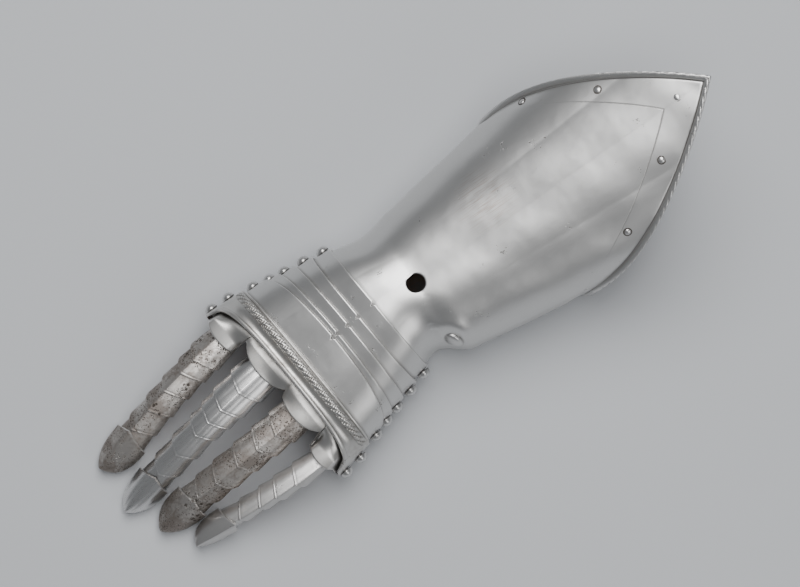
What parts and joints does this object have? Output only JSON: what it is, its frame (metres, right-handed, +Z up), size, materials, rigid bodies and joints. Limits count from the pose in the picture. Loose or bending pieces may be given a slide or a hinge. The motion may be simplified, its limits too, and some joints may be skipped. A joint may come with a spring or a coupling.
{
  "type": "armoured gauntlet",
  "caption": "Left-hand steel gauntlet lying palm down: closed cuff with a pointed roped rim, hinged metacarpal lames, roped knuckle plate and overlapping finger scales.",
  "frame": {"origin": "middle of the bounding box, on the plane that the gauntlet rests on", "axes": "+X along the forearm away from the fingers, +Y to the index-finger side, +Z up from the palm side to the back of the hand"},
  "size_m": [0.3318, 0.104, 0.0915],
  "materials": {
    "steel": "aged steel, polished, with fine dark pits and brown traces",
    "dark_steel": "browned and pitted aged steel",
    "clean_steel": "bright polished steel",
    "rivet_steel": "polished domed rivet heads",
    "leather": "worn orange-tan leather"
  },
  "bodies": {
    "cuff": {"cuff_plate": "steel"},
    "lame_1_body": {"lame_1": "steel", "pivot_rivet_index_side_1": "rivet_steel", "pivot_rivet_little_side_1": "rivet_steel"},
    "lame_2_body": {"lame_2": "steel", "pivot_rivet_index_side_2": "rivet_steel", "pivot_rivet_little_side_2": "rivet_steel"},
    "lame_3_body": {"lame_3": "steel", "pivot_rivet_index_side_3": "rivet_steel", "pivot_rivet_little_side_3": "rivet_steel"},
    "lame_4_body": {"lame_4": "steel", "pivot_rivet_index_side_4": "rivet_steel", "pivot_rivet_little_side_4": "rivet_steel"},
    "metacarpal_body": {"metacarpal_plate": "steel", "pivot_rivet_index_side_5": "rivet_steel", "pivot_rivet_little_side_5": "rivet_steel"},
    "knuckle_body": {"knuckle_plate": "steel", "pivot_rivet_index_side_6": "rivet_steel", "pivot_rivet_little_side_6": "rivet_steel", "pivot_rivet_index_side_7": "rivet_steel", "pivot_rivet_little_side_7": "rivet_steel"},
    "finger_body": {"finger_base_plate": "steel", "index_plate_1": "dark_steel", "index_plate_2": "dark_steel", "index_plate_3": "dark_steel", "index_plate_4": "dark_steel", "index_plate_5": "dark_steel", "index_plate_6": "dark_steel", "index_strap": "leather", "index_tip_plate": "dark_steel", "little_plate_1": "steel", "little_plate_2": "steel", "little_plate_3": "steel", "little_plate_4": "steel", "little_plate_5": "steel", "little_strap": "leather", "little_tip_plate": "steel", "middle_plate_1": "clean_steel", "middle_plate_2": "clean_steel", "middle_plate_3": "clean_steel", "middle_plate_4": "clean_steel", "middle_plate_5": "clean_steel", "middle_plate_6": "clean_steel", "middle_plate_7": "clean_steel", "middle_strap": "leather", "middle_tip_plate": "clean_steel", "ring_plate_1": "dark_steel", "ring_plate_2": "dark_steel", "ring_plate_3": "dark_steel", "ring_plate_4": "dark_steel", "ring_plate_5": "dark_steel", "ring_plate_6": "dark_steel", "ring_strap": "leather", "ring_tip_plate": "dark_steel"}
  },
  "joints": [
    {"name": "wrist_hinge", "type": "hinge", "parent": "cuff", "child": "lame_1_body", "pos_m": [-0.01768, 0.00562, 0.016], "axis": [0.1011, -0.9949, 0], "range_deg": [-1, 10]},
    {"name": "lame_1_hinge", "type": "hinge", "parent": "lame_1_body", "child": "lame_2_body", "pos_m": [-0.02753, 0.00462, 0.016], "axis": [0.1011, -0.9949, 0], "range_deg": [-1, 10]},
    {"name": "lame_2_hinge", "type": "hinge", "parent": "lame_2_body", "child": "lame_3_body", "pos_m": [-0.03748, 0.00361, 0.016], "axis": [0.1011, -0.9949, 0], "range_deg": [-1, 10]},
    {"name": "lame_3_hinge", "type": "hinge", "parent": "lame_3_body", "child": "lame_4_body", "pos_m": [-0.04524, 0.00282, 0.016], "axis": [0.1011, -0.9949, 0], "range_deg": [-1, 10]},
    {"name": "metacarpal_hinge", "type": "hinge", "parent": "lame_4_body", "child": "metacarpal_body", "pos_m": [-0.0532, 0.00201, 0.016], "axis": [0.1011, -0.9949, 0], "range_deg": [-1, 10]},
    {"name": "knuckle_hinge", "type": "hinge", "parent": "metacarpal_body", "child": "knuckle_body", "pos_m": [-0.06523, 0.00078, 0.016], "axis": [0.1011, -0.9949, 0], "range_deg": [-1, 7]},
    {"name": "finger_base_hinge", "type": "hinge", "parent": "knuckle_body", "child": "finger_body", "pos_m": [-0.07459, -0.00016, 0.016], "axis": [0.1011, -0.9949, 0], "range_deg": [-1, 6]}
  ]
}
